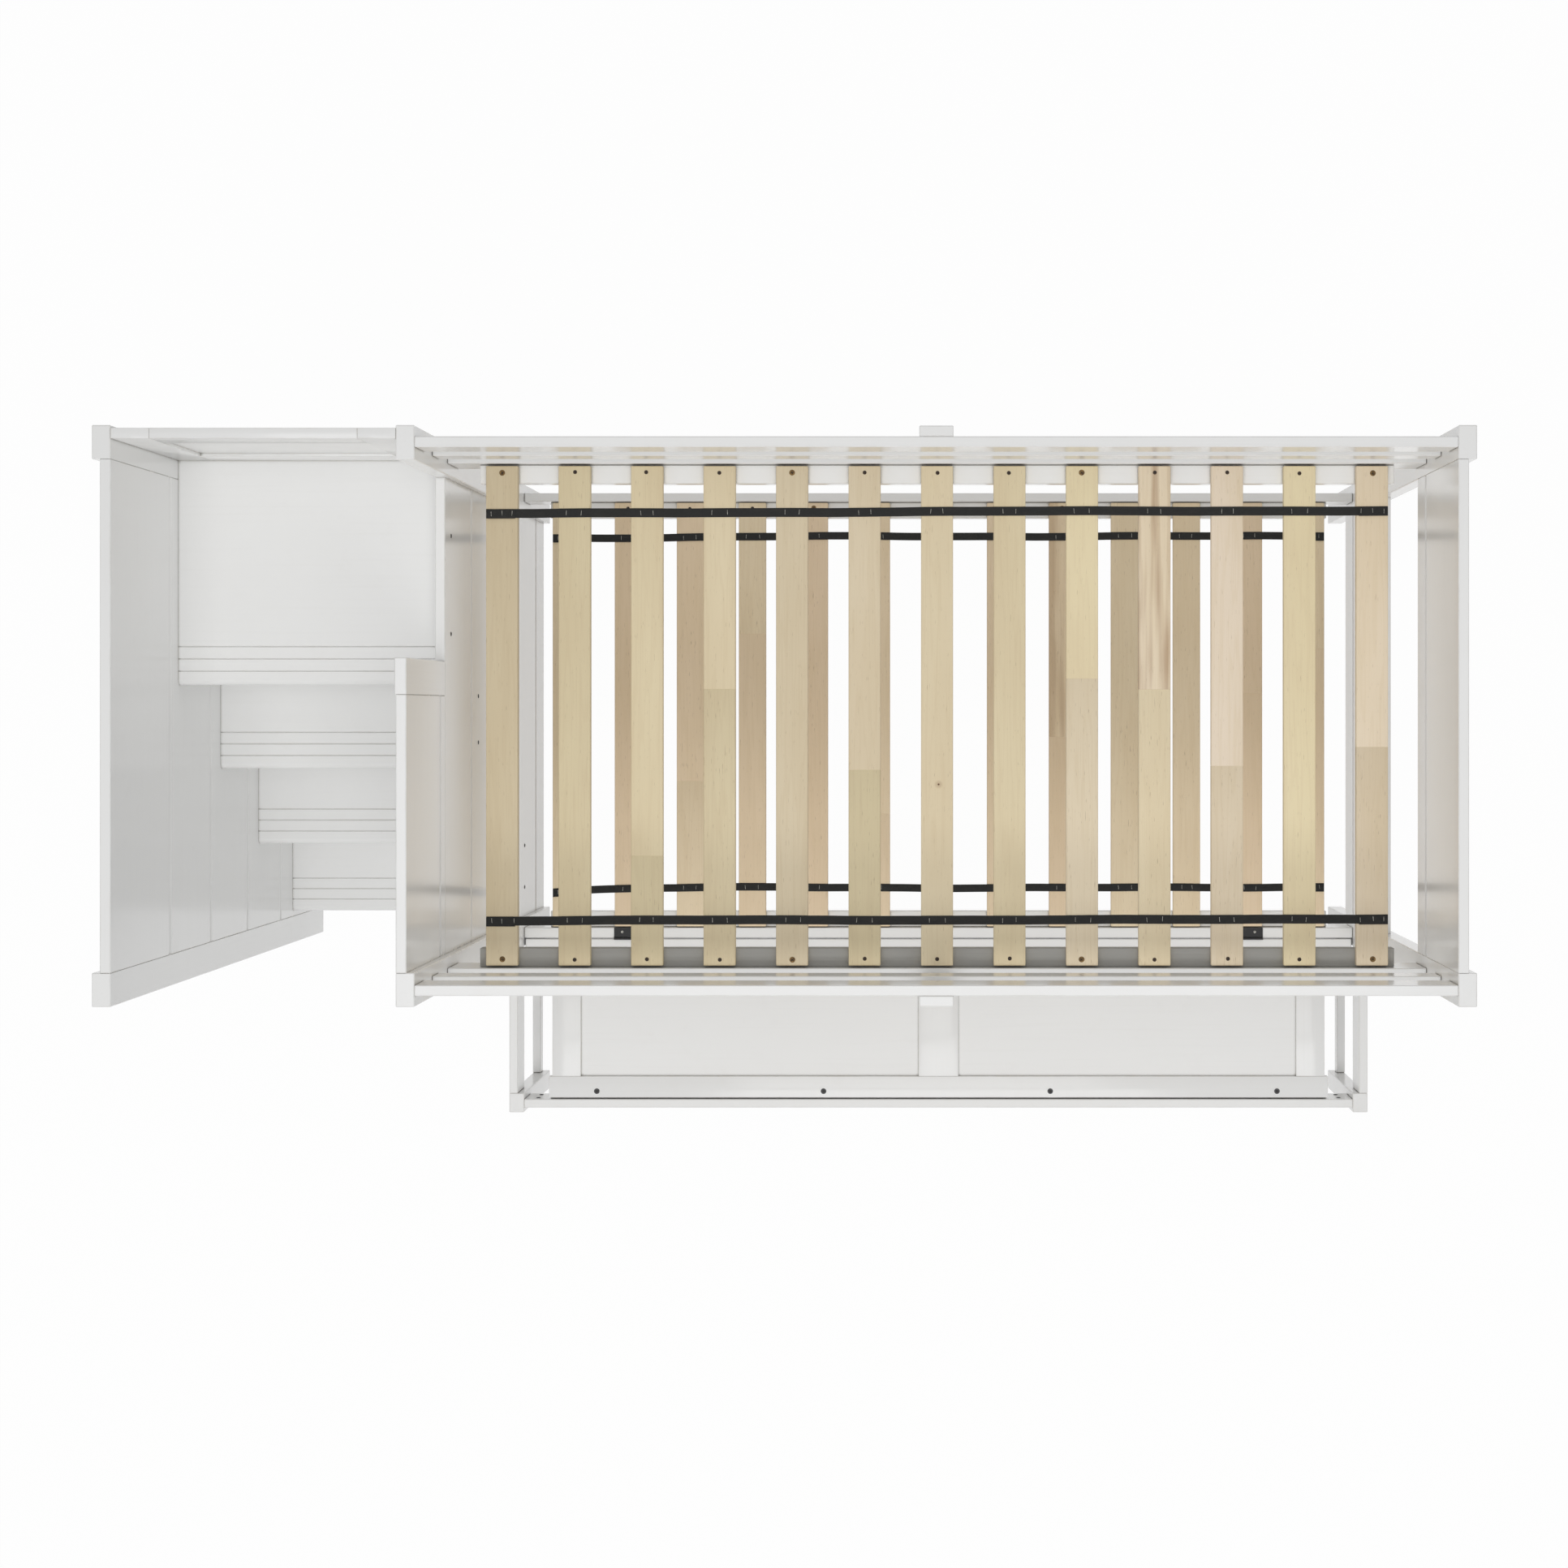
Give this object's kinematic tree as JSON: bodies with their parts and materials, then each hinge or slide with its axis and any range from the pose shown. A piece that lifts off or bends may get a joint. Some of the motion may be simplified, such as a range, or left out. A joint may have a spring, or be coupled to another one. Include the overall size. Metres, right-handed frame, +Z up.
{
  "type": "staircase bunk bed with a fold-up deck flap",
  "caption": "White painted wooden bunk bed with stairs and a landing at one end, slatted upper and lower decks, and a hinged panelled flap that widens the lower deck.",
  "frame": {"origin": "floor level, under the middle of the bed's overall box", "axes": "+X along the bed from the stairs to the right end, +Y from the front to the wall side, +Z up"},
  "size_m": [2.594, 1.482, 1.65],
  "materials": {
    "white_paint": "gloss white paint over solid wood and board",
    "slat_wood": "bare pale hardwood, sanded",
    "webbing": "black woven polyester webbing",
    "black_steel": "satin black coated steel"
  },
  "bodies": {
    "frame": {"back_centre_stile": "white_paint", "back_left_post": "white_paint", "back_middle_rail": "white_paint", "back_right_post": "white_paint", "back_side_rail": "white_paint", "back_top_rail": "white_paint", "front_centre_stile": "white_paint", "front_frame_rail": "white_paint", "front_left_post": "white_paint", "front_middle_rail": "white_paint", "front_right_post": "white_paint", "front_side_rail": "white_paint", "front_top_rail": "white_paint", "left_frame_rail": "white_paint", "left_guard": "white_paint", "left_hinge_fixed_leaf": "black_steel", "left_stretcher": "white_paint", "left_wall": "white_paint", "lower_back_ledger": "white_paint", "lower_back_rail": "white_paint", "lower_end_panel": "white_paint", "lower_front_ledger": "white_paint", "lower_front_rail": "white_paint", "lower_slat_roll": "slat_wood", "newel": "white_paint", "right_end_guard": "white_paint", "right_frame_rail": "white_paint", "right_hinge_fixed_leaf": "black_steel", "right_stretcher": "white_paint", "short_left_post": "white_paint", "short_right_post": "white_paint", "stair_back_panel": "white_paint", "stair_back_post": "white_paint", "stair_front_post": "white_paint", "stair_landing": "white_paint", "stair_side_wall": "white_paint", "stair_step_1": "white_paint", "stair_step_2": "white_paint", "stair_step_3": "white_paint", "upper_back_ledger": "white_paint", "upper_back_strap": "webbing", "upper_front_ledger": "white_paint", "upper_front_strap": "webbing", "upper_slat_1": "slat_wood", "upper_slat_10": "slat_wood", "upper_slat_11": "slat_wood", "upper_slat_12": "slat_wood", "upper_slat_13": "slat_wood", "upper_slat_2": "slat_wood", "upper_slat_3": "slat_wood", "upper_slat_4": "slat_wood", "upper_slat_5": "slat_wood", "upper_slat_6": "slat_wood", "upper_slat_7": "slat_wood", "upper_slat_8": "slat_wood", "upper_slat_9": "slat_wood"},
    "flap": {"flap_batten": "white_paint", "flap_panel": "white_paint", "left_hinge_swinging_leaf": "black_steel", "right_hinge_swinging_leaf": "black_steel"}
  },
  "joints": [
    {"name": "flap_hinge", "type": "hinge", "parent": "frame", "child": "flap", "pos_m": [0.2845, -0.3305, 0.3983], "axis": [-1, 0, 0], "range_deg": [0, 90]}
  ]
}
